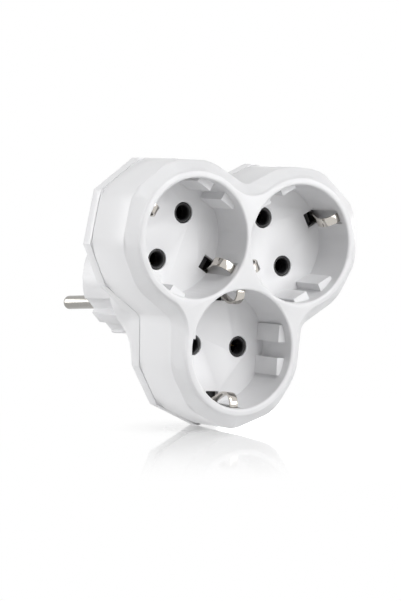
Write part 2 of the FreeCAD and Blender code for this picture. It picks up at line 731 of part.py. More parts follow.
def build_busbar(pole):
    """One pole's busbar, punched from sheet and bent up to its plug pin."""
    front = "Sizes.%s_busbar_depth" % pole
    thick = "Sizes.busbar_thickness"
    side = POLES[pole]
    ring = add_cylinder("busbar_ring", (0, front, 0), "Sizes.busbar_outer_radius", thick)
    opening = add_cylinder("busbar_opening", (0, front + " - %s" % MARGIN, 0), "Sizes.busbar_inner_radius",
                           thick + " + %s" % (2 * MARGIN))
    pieces = [cut("busbar_plain_ring", ring, [opening])]
    holes = []
    for lobe, frame in SOCKETS.items():
        reach = math.hypot(size("socket_circle_radius"), size("pin_spacing") / 2)
        lean = math.degrees(math.atan2(side * size("pin_spacing") / 2, size("socket_circle_radius")))
        arm_frame = Placement(Vector(), Rotation(Vector(0, 1, 0), -LOBES[lobe] - lean))
        middle = (value("Sizes.busbar_inner_radius") + value("Sizes.busbar_outer_radius")) / 2
        pieces.append(add_box("busbar_arm", (middle, front, "-Sizes.busbar_arm_width / 2"),
                              (str(reach - middle), thick, "Sizes.busbar_arm_width"), arm_frame))
        pieces.append(add_cylinder("busbar_eye", (reach, front, 0), "Sizes.contact_radius + Sizes.busbar_eye_width",
                                   thick, arm_frame))
        holes.append(add_cylinder("busbar_hole", (reach, front + " - %s" % MARGIN, 0),
                                  "Sizes.contact_radius + Sizes.contact_clearance",
                                  thick + " + %s" % (2 * MARGIN), arm_frame))
    return cut(pole + "_busbar", join(pole + "_busbar_blank", pieces + riser(pole)), holes)


def riser(pole):
    """The strip from a busbar to the tail of its plug pin, with the spur that it stands on."""
    side = POLES[pole]
    depth = value("Sizes.%s_busbar_depth" % pole)
    back = depth + size("busbar_thickness")
    place = side * size("pin_spacing") / 2
    foot = foot_of_riser(depth, place)
    length = -size("riser_start") - foot
    near = PLUG.multVec(Vector(size("pin_tail_radius"), foot, place))
    width = size("riser_width")
    strip = Part.makeBox(size("busbar_thickness"), length, width,
                         Vector(size("pin_tail_radius"), foot, place - width / 2))
    strip.Placement = PLUG
    keep = Part.makeBox(4 * size("flange_radius"), 4 * size("flange_radius"), 4 * size("flange_radius"),
                        Vector(-2 * size("flange_radius"), depth, -2 * size("flange_radius")))
    ring = (size("busbar_inner_radius") + size("busbar_outer_radius")) / 2
    stand = math.hypot(near.x, near.z)
    low, high = sorted((stand, ring))
    spur = Part.makeBox(high - low + width, back - depth, 1.5 * width,
                        Vector(low - (width if stand < ring else 0), depth, -0.75 * width))
    spur.Placement = Placement(Vector(), Rotation(Vector(0, 1, 0), -math.degrees(math.atan2(near.z, near.x))))
    return [add_shape(pole + "_riser", strip.common(keep)), add_shape(pole + "_spur", spur)]


def foot_of_riser(depth, place):
    """Where a line beside the plug's axis passes below one depth, along the plug's axis."""
    outward = PLUG.Rotation.multVec(Vector(0, 1, 0))
    start = PLUG.multVec(Vector(0, 0, place))
    return (depth - size("busbar_thickness") - start.y) / outward.y


# Earth parts: a bent strip in each socket, a star that joins them and a strip in the plug

def strip_path(points, thickness, width, roundings):
    """A bent strip on a path in the XY plane: a positive thickness lies to the path's right."""
    edges = []
    previous = points[0]
    for index in range(1, len(points) - 1):
        corner = points[index]
        back = (points[index - 1] - corner).normalize()
        ahead = (points[index + 1] - corner).normalize()
        half_angle = back.getAngle(ahead) / 2
        rounding = roundings[index - 1]
        reach = rounding / math.tan(half_angle)
        start = corner + back * reach
        end = corner + ahead * reach
        middle = corner + (back + ahead).normalize() * (rounding / math.sin(half_angle) - rounding)
        edges.append(Part.LineSegment(previous, start).toShape())
        edges.append(Part.Arc(start, middle, end).toShape())
        previous = end
    edges.append(Part.LineSegment(previous, points[-1]).toShape())
    band = Part.Wire(edges).makeOffset2D(thickness, 0, True, True)
    face = band if band.ShapeType == "Face" else band.Faces[0]
    solid = face.extrude(Vector(0, 0, width))
    solid.translate(Vector(0, 0, -width / 2))
    return solid


def build_earth_bracket(lobe):
    """The earth strip of one socket: a base behind the insert and a sprung clip at each end."""
    thick = size("earth_strip_thickness")
    base = value("Sizes.well_depth + Sizes.floor_thickness + Sizes.insert_thickness + Sizes.earth_strip_gap") + thick
    half = [Vector(0, base, 0),
            Vector(size("earth_leg_radius"), base, 0),
            Vector(size("earth_leg_radius"), size("clip_foot_depth"), 0),
            Vector(size("clip_peak_radius"), size("clip_shoulder_depth"), 0),
            Vector(size("clip_peak_radius"), size("clip_front_depth"), 0),
            Vector(size("clip_tip_radius"), size("clip_front_depth"), 0)]
    bend = size("earth_bend_radius")
    roundings = [bend, bend, size("clip_shoulder_rounding"), size("clip_front_rounding")]
    solid = strip_path(half, thick, size("earth_strip_width"), roundings)
    mirrored = solid.mirror(Vector(), Vector(1, 0, 0))
    return add_shape("earth_bracket_" + lobe, solid.fuse(mirrored).removeSplitter(), SOCKETS[lobe])


def build_earth_busbar():
    """The star that rests on the three brackets, and its post along the plug's axis."""
    thick = size("earth_strip_thickness")
    depth = value("Sizes.well_depth + Sizes.floor_thickness + Sizes.insert_thickness"
                  " + Sizes.earth_strip_gap + Sizes.earth_strip_thickness")
    star = Part.makeCylinder(size("earth_star_radius"), thick, Vector(0, depth, 0), Vector(0, 1, 0))
    foot = foot_of_riser(depth, 0)
    top = -value("Sizes.head_length + Sizes.wall + Sizes.earth_strip_gap") - thick
    width = size("earth_strip_width")
    post = Part.makeBox(thick, top - foot, width, Vector(-thick / 2, foot, -width / 2))
    post.Placement = PLUG
    reach = 4 * size("flange_radius")
    keep = Part.makeBox(reach, reach, reach, Vector(-reach / 2, depth, -reach / 2))
    return add_shape("earth_busbar", star.fuse(post.common(keep)).removeSplitter())


def build_plug_earth_strip():
    """The strip across the plug whose ends lie in the grooves on the head's sides."""
    thick = size("earth_strip_thickness")
    base = -value("Sizes.head_length + Sizes.wall + Sizes.earth_strip_gap")
    outer = size("side_contact_radius")
    points = [Vector(0, base - thick, 0),
              Vector(outer, base - thick, 0),
              Vector(outer, -size("side_contact_start") - size("side_contact_clearance"), 0)]
    solid = strip_path(points, -thick, size("earth_strip_width"), [size("earth_bend_radius")])
    mirrored = solid.mirror(Vector(), Vector(1, 0, 0))
    return add_shape("plug_earth_strip", solid.fuse(mirrored).removeSplitter(), PLUG)


# Plug pins, their retainer and the housing screws

def build_plug_pin(pole):
    """A solid pin with a collar inside the head's face and a tail for the busbar's strip."""
    frame = PLUG * Placement(Vector(0, 0, POLES[pole] * size("pin_spacing") / 2), Rotation())
    face = "-Sizes.head_face_thickness"
    collar = face + " - Sizes.pin_collar_height"
    profile = [(0, "-Sizes.pin_tail_end"),
               ("Sizes.pin_tail_radius", "-Sizes.pin_tail_end"),
               ("Sizes.pin_tail_radius", collar),
               ("Sizes.pin_collar_radius", collar),
               ("Sizes.pin_collar_radius", face),
               ("Sizes.pin_root_radius", face),
               ("Sizes.pin_root_radius", 0),
               ("Sizes.plug_pin_radius", 0),
               ("Sizes.plug_pin_radius", "Sizes.plug_pin_length"),
               (0, "Sizes.plug_pin_length")]
    return turned_body("plug_pin_" + pole, profile, frame, ("Sizes.plug_pin_length", "Sizes.plug_pin_tip_rounding"))


def build_retainer():
    """The disc behind the pins' collars, which keeps the pins in the head."""
    start = "-Sizes.head_face_thickness - Sizes.pin_collar_height - Sizes.retainer_thickness"
    disc = add_cylinder("retainer_disc", (0, start, 0), "Sizes.head_bore_radius - Sizes.retainer_clearance",
                        "Sizes.retainer_thickness", PLUG)
    holes = [add_cylinder("retainer_hole", (0, start + " - %s" % MARGIN, "%d * Sizes.pin_spacing / 2" % pole),
                          "Sizes.pin_tail_radius + Sizes.plug_pin_clearance",
                          "Sizes.retainer_thickness + %s" % (2 * MARGIN), PLUG) for pole in POLES.values()]
    return cut("pin_retainer", disc, holes)


def build_screw(lobe):
    """A pan-head screw from the rear, with a cross recess in its head."""
    frame = SOCKETS[lobe] * Placement(Vector(size("screw_circle_radius"), 0, 0), Rotation())
    top = "Sizes.screw_seat_depth + Sizes.screw_head_height"
    profile = [(0, "Sizes.screw_end_depth"),
               ("Sizes.screw_shank_radius / 2", "Sizes.screw_end_depth"),
               ("Sizes.screw_shank_radius", "Sizes.screw_end_depth + Sizes.screw_shank_radius"),
               ("Sizes.screw_shank_radius", "Sizes.screw_seat_depth"),
               ("Sizes.screw_head_radius", "Sizes.screw_seat_depth"),
               ("Sizes.screw_head_radius", top),
               (0, top)]
    blank = turned_body("screw_blank_" + lobe, profile, frame, (top, "Sizes.screw_head_height / 3"))
    drives = []
    for across, along in (("screw_drive_width", "screw_head_radius"), ("screw_head_radius", "screw_drive_width")):
        drives.append(add_box("screw_drive", ("-Sizes.%s / 2" % across, top + " - Sizes.screw_drive_depth",
                                              "-Sizes.%s / 2" % along),
                              ("Sizes." + across, "Sizes.screw_drive_depth + %s" % MARGIN, "Sizes." + along), frame))
    return cut("housing_screw_" + lobe, blank, drives)


def build_all():
    """Every sub-part, by its node's name."""
    parts = [build_front_housing(), build_rear_housing()]
    for lobe in LOBES:
        parts.append(build_insert(lobe))
        parts += [build_contact(pole, lobe) for pole in POLES]
        parts.append(build_earth_bracket(lobe))
        parts.append(build_screw(lobe))
    parts += [build_busbar(pole) for pole in POLES]
    parts += [build_plug_pin(pole) for pole in POLES]
    parts += [build_earth_busbar(), build_plug_earth_strip(), build_retainer()]
    return parts


def check_and_export(parts):
    """Stop on any failed object or shape, then write each sub-part's file."""
    doc.recompute()
    for entry in doc.Objects:
        if "Invalid" in entry.State or "Error" in entry.State:
            raise RuntimeError("%s did not build: %s" % (entry.Label, entry.State))
    for part in parts:
        if part.Shape.isNull() or not part.Shape.isValid() or not part.Shape.Solids:
            raise RuntimeError("%s has no valid solid" % part.Label)
    os.makedirs("parts", exist_ok=True)
    for part in parts:
        part.Shape.exportStep("parts/%s.step" % part.Label)
        print("%-24s %2d solid(s) %9.1f mm3" % (part.Label, len(part.Shape.Solids), part.Shape.Volume))


check_and_export(build_all())
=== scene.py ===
"""Looks of a three-way socket adapter: white housings, black inserts, nickel and brass parts."""
import math

import bmesh
import bpy
from mathutils import Matrix, Vector


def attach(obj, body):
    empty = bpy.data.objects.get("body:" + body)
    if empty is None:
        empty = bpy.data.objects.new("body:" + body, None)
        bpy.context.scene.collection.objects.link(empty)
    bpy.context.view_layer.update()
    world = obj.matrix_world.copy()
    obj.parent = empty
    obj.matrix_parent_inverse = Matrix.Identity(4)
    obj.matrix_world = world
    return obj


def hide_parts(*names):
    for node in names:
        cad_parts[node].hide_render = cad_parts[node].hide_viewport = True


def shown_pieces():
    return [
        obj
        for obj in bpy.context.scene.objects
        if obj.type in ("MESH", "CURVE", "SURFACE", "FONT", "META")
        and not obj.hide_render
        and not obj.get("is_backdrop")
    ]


bl_info = {
    "name": "Socket Adapter Looks",
    "version": (1, 0, 0),
    "blender": (4, 5, 0),
    "location": "View3D > Sidebar > Adapter",
    "description": "Finishes the pieces of a three-way socket adapter and sets its studio",
    "category": "Object",
}

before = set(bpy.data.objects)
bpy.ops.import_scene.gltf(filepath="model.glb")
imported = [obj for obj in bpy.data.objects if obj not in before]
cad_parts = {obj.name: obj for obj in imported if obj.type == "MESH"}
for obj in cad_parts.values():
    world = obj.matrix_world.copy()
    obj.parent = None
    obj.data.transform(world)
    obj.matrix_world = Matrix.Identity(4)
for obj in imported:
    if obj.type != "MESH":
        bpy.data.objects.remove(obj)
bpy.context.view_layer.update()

MM = 0.001

# Places in the CAD model
SOCKET_ANGLES = {"left": 150.0, "right": 30.0, "bottom": 270.0}
SOCKET_CIRCLE = 24.7 * MM
PIN_SPACING = 19.0 * MM
SIDE_RADIUS = 24.0 * MM       # from a socket's axis; the flats of the sides lie outside it
CLIP_FOOT_DEPTH = 19.0 * MM   # the earth strips' base lies behind it, and their clips before it
PAINTED_SHADE_DEPTH = 27.5 * MM   # painted shade: the contacts' mouths are painted dark down to it, for the shade deep in the pin holes
PAINTED_SHADE_FADE = 0.5 * MM     # before and behind that depth

# Edges and shading
MERGE_DISTANCE = 0.001 * MM
FLAT_ANGLE = math.radians(0.6)
SMOOTH_ANGLE = math.radians(30)
CORNER_LENGTH = 3.5 * MM
CORNER_ANGLES = (math.radians(10), math.radians(70))
CORNER_SEGMENTS = 4
ALONG_AXIS = 0.97             # share of a corner's length that runs along the sockets' axes
RIM_SIDES = 10
RIM_SEGMENTS = 48
NOISE_RANGE = (0.3, 0.7)      # the span in which a noise texture mostly lies

# Studio
AIM = (0.0, 0.02, 0.0)
FLOOR_HALF = 3.0
SHADOW_FORWARD = 12 * MM      # from the contact with the floor to the shadow's middle
MIRROR_ROUGHNESS = 0.06
MIRROR_FULL_BEHIND = 40 * MM  # the reflection is full down to here behind the origin
MIRROR_END_BEHIND = 100 * MM  # and gone here
LOW_ANGLES = (0.35, 0.85)     # facing shares between which the floor's reflection comes up
CLIP_NEAR, CLIP_FAR = 0.05, 20.0
LAMPS = (
    ("front_lamp", (0.2, -1.6, 0.2), 1.2),
    ("left_lamp", (-1.3, 0.62, 0.25), 1.3),
    ("top_lamp", (-0.25, 0.1, 1.4), 0.9),
    ("front_high_lamp", (0.1, -1.2, 1.1), 1.0),
    ("front_right_lamp", (1.0, -1.25, 0.2), 0.9),
    ("back_lamp", (1.3, 1.2, -0.02), 0.9),
)


# Settings

class HousingSettings(bpy.types.PropertyGroup):
    """Finish of the white mouldings."""
    colour: bpy.props.FloatVectorProperty(
        name="Colour", description="Colour of the white plastic",
        subtype="COLOR", size=3, min=0.0, max=1.0, default=(0.72, 0.72, 0.73))
    roughness: bpy.props.FloatProperty(
        name="Roughness", description="Roughness of the polished mould surface",
        subtype="FACTOR", min=0.0, max=1.0, default=0.31)
    mottle: bpy.props.FloatProperty(
        name="Mottle", description="How far the roughness drifts either way over the surface",
        min=0.0, max=0.2, default=0.02)
    ripple: bpy.props.FloatProperty(
        name="Ripple", description="Height of the slow waves that show in the reflections",
        unit="LENGTH", precision=6, min=0.0, max=0.0001, default=0.01 * MM)
    edge_radius: bpy.props.FloatProperty(
        name="Edge radius", description="Rounding of the mouldings' sharp edges",
        unit="LENGTH", min=0.0, max=0.002, default=0.3 * MM)
    corner_radius: bpy.props.FloatProperty(
        name="Corner radius", description="Rounding of the corners between the flats of the sides",
        unit="LENGTH", min=0.0, max=0.008, default=4 * MM)


class InsertSettings(bpy.types.PropertyGroup):
    """Black inserts and the rims of their sleeves in the pin holes."""
    colour: bpy.props.FloatVectorProperty(
        name="Colour", description="Colour of the black plastic",
        subtype="COLOR", size=3, min=0.0, max=1.0, default=(0.012, 0.012, 0.013))
    edge_radius: bpy.props.FloatProperty(
        name="Edge radius", description="Rounding of the inserts' edges",
        unit="LENGTH", min=0.0, max=0.001, default=0.15 * MM)
    rim_radius: bpy.props.FloatProperty(
        name="Rim radius", description="Radius of a sleeve's rim, at the middle of its roll",
        unit="LENGTH", min=0.001, max=0.01, default=3.1 * MM)
    rim_thickness: bpy.props.FloatProperty(
        name="Rim thickness", description="Radius of the roll round a sleeve's mouth",
        unit="LENGTH", min=0.0001, max=0.002, default=0.45 * MM)
    rim_depth: bpy.props.FloatProperty(
        name="Rim depth", description="Depth of the rims behind the sockets' face",
        unit="LENGTH", min=0.0, max=0.05, default=17.7 * MM)


class MetalSettings(bpy.types.PropertyGroup):
    """Finish of the metal pieces."""
    nickel: bpy.props.FloatVectorProperty(
        name="Nickel", description="Colour of the nickel plating",
        subtype="COLOR", size=3, min=0.0, max=1.0, default=(0.56, 0.53, 0.49))
    pin: bpy.props.FloatVectorProperty(
        name="Pin", description="Colour of the satin plating on the plug's pins",
        subtype="COLOR", size=3, min=0.0, max=1.0, default=(0.34, 0.33, 0.31))
    brass: bpy.props.FloatVectorProperty(
        name="Brass", description="Colour of the rolled brass",
        subtype="COLOR", size=3, min=0.0, max=1.0, default=(0.78, 0.58, 0.28))
    # Painted shade: the dark colour painted on the contacts' mouths, for the shade deep in the pin
    # holes.
    mouth_painted_shade: bpy.props.FloatVectorProperty(
        name="Painted mouth shade", description="Colour of the blackened mouths of the contacts",
        subtype="COLOR", size=3, min=0.0, max=1.0, default=(0.012, 0.011, 0.010))
    zinc_dark: bpy.props.FloatVectorProperty(
        name="Dark zinc", description="Darker colour of the mottled zinc on the screws",
        subtype="COLOR", size=3, min=0.0, max=1.0, default=(0.38, 0.38, 0.40))
    zinc_light: bpy.props.FloatVectorProperty(
        name="Light zinc", description="Lighter colour of the mottled zinc on the screws",
        subtype="COLOR", size=3, min=0.0, max=1.0, default=(0.60, 0.60, 0.62))
    clip_share: bpy.props.FloatProperty(
        name="Clip width", description="Width of the earth clips as a share of their strip's",
        subtype="FACTOR", min=0.4, max=1.0, default=0.70)
    edge_radius: bpy.props.FloatProperty(
        name="Edge radius", description="Rounding of the metal pieces' edges",
        unit="LENGTH", min=0.0, max=0.001, default=0.08 * MM)


class StageSettings(bpy.types.PropertyGroup):
    """Camera, floor and lamps."""
    yaw: bpy.props.FloatProperty(
        name="Yaw", description="Turn of the camera about the vertical",
        subtype="ANGLE", unit="ROTATION", default=math.radians(-33.74))
    pitch: bpy.props.FloatProperty(
        name="Pitch", description="Tilt of the camera, positive when it looks down",
        subtype="ANGLE", unit="ROTATION", default=math.radians(1.66))
    roll: bpy.props.FloatProperty(
        name="Roll", description="Lean of the camera to one side",
        subtype="ANGLE", unit="ROTATION", default=math.radians(3.69))
    distance: bpy.props.FloatProperty(
        name="Distance", description="From the camera to the plane of the sockets' axis",
        unit="LENGTH", default=1.1076)
    offset: bpy.props.FloatVectorProperty(
        name="Offset", description="Where the sockets' axis lies in the view, right and up",
        unit="LENGTH", size=2, default=(0.01605, 0.00793))
    lens: bpy.props.FloatProperty(
        name="Lens", description="Focal length on a 36 mm wide frame, in millimetres",
        min=1.0, max=1000.0, default=291.4)
    floor_pitch: bpy.props.FloatProperty(
        name="Floor pitch", description="How much steeper than the camera the floor is seen",
        subtype="ANGLE", unit="ROTATION", default=math.radians(5.0))
    floor_colour: bpy.props.FloatVectorProperty(
        name="Floor colour", description="Colour of the glossy white floor",
        subtype="COLOR", size=3, min=0.0, max=1.0, default=(0.86, 0.86, 0.86))
    reflection: bpy.props.FloatProperty(
        name="Reflection", description="Share of the floor's reflection under the object",
        subtype="FACTOR", min=0.0, max=1.0, default=0.5)
    reflection_reach: bpy.props.FloatProperty(
        name="Reflection reach", description="How far towards the camera the reflection fades out",
        unit="LENGTH", min=0.0, default=0.12)
    shadow: bpy.props.FloatProperty(
        name="Shadow", description="Share of the shadow at the contact with the floor",
        subtype="FACTOR", min=0.0, max=1.0, default=0.5)
    shadow_reach: bpy.props.FloatProperty(
        name="Shadow reach", description="How far from the contact with the floor the shadow shows",
        unit="LENGTH", min=0.0, default=30 * MM)
    front_lamp: bpy.props.FloatProperty(
        name="Front lamp", description="Power of the lamp in front, in watts",
        min=0.0, default=5.5)
    left_lamp: bpy.props.FloatProperty(
        name="Left lamp", description="Power of the lamp on the left, in watts",
        min=0.0, default=20.5)
    top_lamp: bpy.props.FloatProperty(
        name="Top lamp", description="Power of the lamp overhead, in watts",
        min=0.0, default=2.1)
    front_high_lamp: bpy.props.FloatProperty(
        name="Front high lamp", description="Power of the high lamp in front, in watts",
        min=0.0, default=17.0)
    front_right_lamp: bpy.props.FloatProperty(
        name="Front right lamp", description="Power of the lamp in front on the right, in watts",
        min=0.0, default=8.0)
    back_lamp: bpy.props.FloatProperty(
        name="Back lamp", description="Power of the lamp behind the object, in watts",
        min=0.0, default=7.0)
    world_strength: bpy.props.FloatProperty(
        name="World strength", description="Strength of the even light from all round",
        min=0.0, default=0.08)


def settings(group):
    """One of the scene's groups of settings."""
    return getattr(bpy.context.scene, group)


# Meshes and objects

def new_object(name, data):
    """An object at the origin that holds a mesh, a lamp or a camera."""
    item = bpy.data.objects.new(name, data)
    bpy.context.scene.collection.objects.link(item)
    return item


def merged_mesh(node):
    """A node's triangles as a closed mesh with its flat faces joined."""
    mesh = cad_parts[node].data.copy()
    mesh.materials.clear()
    work = bmesh.new()
    work.from_mesh(mesh)
    bmesh.ops.remove_doubles(work, verts=work.verts, dist=MERGE_DISTANCE)
    bmesh.ops.dissolve_limit(work, angle_limit=FLAT_ANGLE, verts=work.verts, edges=work.edges)
    work.to_mesh(mesh)
    work.free()
    return mesh


def shade_smooth(mesh):
    """Shade a mesh smooth, apart from its sharp edges."""
    mesh.polygons.foreach_set("use_smooth", [True] * len(mesh.polygons))
    mesh.set_sharp_from_angle(angle=SMOOTH_ANGLE)


def bake(piece):
    """Make an object's modifiers part of a plain mesh."""
    bpy.context.view_layer.update()
    evaluated = piece.evaluated_get(bpy.context.evaluated_depsgraph_get())
    mesh = bpy.data.meshes.new_from_object(evaluated)
    mesh.name = piece.name
    piece.modifiers.clear()
    piece.data = mesh


def side_distance(place):
    """How far a place lies from the nearest socket's axis."""
    distances = []
    for angle in SOCKET_ANGLES.values():
        turn = math.radians(angle)
        centre = Vector((math.cos(turn), 0, math.sin(turn))) * SOCKET_CIRCLE
        distances.append((Vector((place.x, 0, place.z)) - centre).length)
    return min(distances)


def is_side_corner(edge):
    """Whether an edge is a corner between two flats of a housing's side."""
    along = edge.verts[1].co - edge.verts[0].co
    if len(edge.link_faces) != 2 or along.length < CORNER_LENGTH or not edge.is_convex:
        return False
    return (abs(along.y) > ALONG_AXIS * along.length
            and CORNER_ANGLES[0] < edge.calc_face_angle() < CORNER_ANGLES[1]
            and side_distance(edge.verts[0].co) > SIDE_RADIUS)


def soften_corners(mesh, radius):
    """Round the corners between the flats of a housing's side."""
    work = bmesh.new()
    work.from_mesh(mesh)
    corners = [edge for edge in work.edges if is_side_corner(edge)]
    bmesh.ops.bevel(work, geom=corners, offset=radius, segments=CORNER_SEGMENTS, profile=0.5,
                    affect="EDGES", clamp_overlap=True)
    work.to_mesh(mesh)
    work.free()


def narrow_clips(mesh, side, share):
    """Narrow an earth strip before its base, where it shows as the two sprung clips."""
    turn = math.radians(SOCKET_ANGLES[side])
    across = Vector((-math.sin(turn), 0, math.cos(turn)))
    for vertex in mesh.vertices:
        if vertex.co.y < CLIP_FOOT_DEPTH:
            vertex.co += across * (vertex.co.dot(across) * (share - 1))


def finish_node(node, material, edge_radius, shape=None):
    """A smooth copy of a node with rounded edges, which stands for the node."""
    piece = new_object(node + "_finished", merged_mesh(node))
    if shape:
        shape(piece.data)
    shade_smooth(piece.data)
    bevel = piece.modifiers.new("edges", "BEVEL")
    bevel.width = edge_radius
    bevel.segments = 2
    bevel.limit_method = "ANGLE"
    bevel.angle_limit = SMOOTH_ANGLE
    bake(piece)
    shade_smooth(piece.data)
    piece.data.materials.append(material)
    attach(piece, "root")
    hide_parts(node)


# Nodes

def linked(tree, kind, links=(), **values):
    """A node with some inputs linked and others set; an underscore stands for a space."""
    node = tree.nodes.new(kind)
    for name, value in values.items():
        node.inputs[name.replace("_", " ")].default_value = value
    for socket, source in dict(links).items():
        tree.links.new(source, node.inputs[socket])
    return node


def combined(tree, operation, first, second):
    """Two numbers combined by a Math node's operation."""
    node = linked(tree, "ShaderNodeMath", {0: first, 1: second})
    node.operation = operation
    return node.outputs[0]


def mixed(tree, share, first, second):
    """Two shaders mixed by a share of the second."""
    mix = linked(tree, "ShaderNodeMixShader", {"Fac": share, 1: first, 2: second})
    return mix.outputs["Shader"]


def object_noise(tree, scale, detail, stretch=(1.0, 1.0, 1.0)):
    """Noise on the object's own coordinates."""
    place = tree.nodes.new("ShaderNodeTexCoord")
    mapping = linked(tree, "ShaderNodeMapping", {"Vector": place.outputs["Object"]},
                     Scale=stretch)
    noise = linked(tree, "ShaderNodeTexNoise", {"Vector": mapping.outputs["Vector"]},
                   Scale=scale, Detail=detail)
    return noise.outputs["Fac"]


def add_bump(tree, shader, height, distance):
    """Bumps from a noise, on the shader's normal."""
    bump = linked(tree, "ShaderNodeBump", {"Height": height}, Distance=distance)
    tree.links.new(bump.outputs["Normal"], shader.inputs["Normal"])


def vary_roughness(tree, shader, noise, low, high):
    """The shader's roughness, led by a noise from a low value to a high one."""
    spread = linked(tree, "ShaderNodeMapRange", {"Value": noise}, To_Min=low, To_Max=high,
                    From_Min=NOISE_RANGE[0], From_Max=NOISE_RANGE[1])
    spread.interpolation_type = "SMOOTHSTEP"
    tree.links.new(spread.outputs["Result"], shader.inputs["Roughness"])


def vary_colour(tree, shader, share, first, second):
    """The shader's colour, led by a share from one colour to another."""
    ramp = linked(tree, "ShaderNodeValToRGB", {"Fac": share})
    ramp.color_ramp.elements[0].color = (*first, 1)
    ramp.color_ramp.elements[1].color = (*second, 1)
    tree.links.new(ramp.outputs["Color"], shader.inputs["Base Color"])


# Materials

def new_material(name, colour, metallic=0.0):
    """A material with one shader of a plain colour."""
    material = bpy.data.materials.new(name)
    material.use_nodes = True
    tree = material.node_tree
    tree.nodes.clear()
    shader = linked(tree, "ShaderNodeBsdfPrincipled", Base_Color=(*colour, 1), Metallic=metallic)
    linked(tree, "ShaderNodeOutputMaterial", {"Surface": shader.outputs["BSDF"]})
    return material, tree, shader


def white_plastic():
    """Polished white plastic with slow waves and a slight drift in its gloss."""
    chosen = settings("adapter_housing")
    material, tree, shader = new_material("white_plastic", chosen.colour)
    shader.inputs["IOR"].default_value = 1.5
    vary_roughness(tree, shader, object_noise(tree, scale=140.0, detail=2.0),
                   low=chosen.roughness - chosen.mottle, high=chosen.roughness + chosen.mottle)
    add_bump(tree, shader, object_noise(tree, scale=70.0, detail=1.0),
             distance=chosen.ripple)
    return material


def black_plastic():
    """Matt black insert plastic with a fine grain, made once for all the black pieces."""
    made = bpy.data.materials.get("black_plastic")
    if made:
        return made
    material, tree, shader = new_material("black_plastic", settings("adapter_inserts").colour)
    grain = object_noise(tree, scale=2500.0, detail=2.0)
    vary_roughness(tree, shader, grain, low=0.36, high=0.5)
    add_bump(tree, shader, grain, distance=0.02 * MM)
    return material


def nickel(name, colour, roughness, stretch):
    """Nickel plating with fine draw lines along the strip."""
    material, tree, shader = new_material(name, colour, metallic=1.0)
    lines = object_noise(tree, scale=700.0, detail=4.0, stretch=stretch)
    vary_roughness(tree, shader, lines, low=roughness * 0.8, high=roughness * 1.3)
    add_bump(tree, shader, lines, distance=0.01 * MM)
    return material


def brass(name):
    """Rolled brass, a little dull, with lines of the rolling."""
    material, tree, shader = new_material(name, settings("adapter_metal").brass, metallic=1.0)
    lines = object_noise(tree, scale=400.0, detail=5.0, stretch=(1.0, 6.0, 1.0))
    vary_roughness(tree, shader, lines, low=0.22, high=0.4)
    add_bump(tree, shader, lines, distance=0.01 * MM)
    return material, tree, shader


def brass_with_painted_shade(name):
    """Rolled brass with painted shade: painted dark from the front down to a depth, for the shade
    deep in the pin holes.
    """
    material, tree, shader = brass(name)
    chosen = settings("adapter_metal")
    place = tree.nodes.new("ShaderNodeTexCoord")
    split = linked(tree, "ShaderNodeSeparateXYZ", {"Vector": place.outputs["Object"]})
    depth = linked(tree, "ShaderNodeMapRange", {"Value": split.outputs["Y"]},
                   From_Min=PAINTED_SHADE_DEPTH - PAINTED_SHADE_FADE,
                   From_Max=PAINTED_SHADE_DEPTH + PAINTED_SHADE_FADE)
    # Painted shade: dark in front of the depth, plain brass behind it.
    vary_colour(tree, shader, depth.outputs["Result"], chosen.mouth_painted_shade, chosen.brass)
    return material


def zinc_steel():
    """Zinc-plated screw steel with a faint grey mottle."""
    chosen = settings("adapter_metal")
    material, tree, shader = new_material("screw_steel", chosen.zinc_light, metallic=1.0)
    mottle = object_noise(tree, scale=1500.0, detail=4.0)
    vary_colour(tree, shader, mottle, chosen.zinc_dark, chosen.zinc_light)
    vary_roughness(tree, shader, mottle, low=0.28, high=0.42)
    return material


# Pieces

class ADAPTER_OT_housings(bpy.types.Operator):
    """Make the two white mouldings with rounded edges."""
    bl_idname = "adapter.housings"
    bl_label = "Housings"

    def execute(self, context):
        material = white_plastic()
        chosen = settings("adapter_housing")
        for node in ("front_housing", "rear_housing"):
            finish_node(node, material, chosen.edge_radius,
                        shape=lambda mesh: soften_corners(mesh, chosen.corner_radius))
        return {"FINISHED"}


class ADAPTER_OT_inserts(bpy.types.Operator):
    """Make the black inserts and the retainer of the plug's pins."""
    bl_idname = "adapter.inserts"
    bl_label = "Inserts"

    def execute(self, context):
        material = black_plastic()
        radius = settings("adapter_inserts").edge_radius
        for side in SOCKET_ANGLES:
            finish_node("socket_insert_" + side, material, radius)
        finish_node("pin_retainer", material, radius)
        return {"FINISHED"}


def rim_nodes(tree, given):
    """One rounded rim, which faces the front."""
    profile = linked(tree, "GeometryNodeCurvePrimitiveCircle",
                     {"Radius": given["Rim thickness"]}, Resolution=RIM_SIDES)
    circle = linked(tree, "GeometryNodeCurvePrimitiveCircle",
                    {"Radius": given["Rim radius"]}, Resolution=RIM_SEGMENTS)
    rim = linked(tree, "GeometryNodeCurveToMesh",
                 {"Curve": circle.outputs["Curve"], "Profile Curve": profile.outputs["Curve"]})
    upright = linked(tree, "GeometryNodeTransform", {"Geometry": rim.outputs["Mesh"]},
                     Rotation=(math.radians(90), 0.0, 0.0))
    return upright.outputs["Geometry"]


def pair_nodes(tree, given, rim):
    """Two rims, a pin spacing apart, one above the other."""
    half = linked(tree, "ShaderNodeMath", {0: given["Pin spacing"]})
    half.operation = "MULTIPLY"
    half.inputs[1].default_value = -0.5
    start = linked(tree, "ShaderNodeCombineXYZ", {"Z": half.outputs[0]})
    step = linked(tree, "ShaderNodeCombineXYZ", {"Z": given["Pin spacing"]})
    line = linked(tree, "GeometryNodeMeshLine",
                  {"Start Location": start.outputs[0], "Offset": step.outputs[0]}, Count=2)
    pair = linked(tree, "GeometryNodeInstanceOnPoints",
                  {"Points": line.outputs["Mesh"], "Instance": rim})
    return pair.outputs["Instances"]


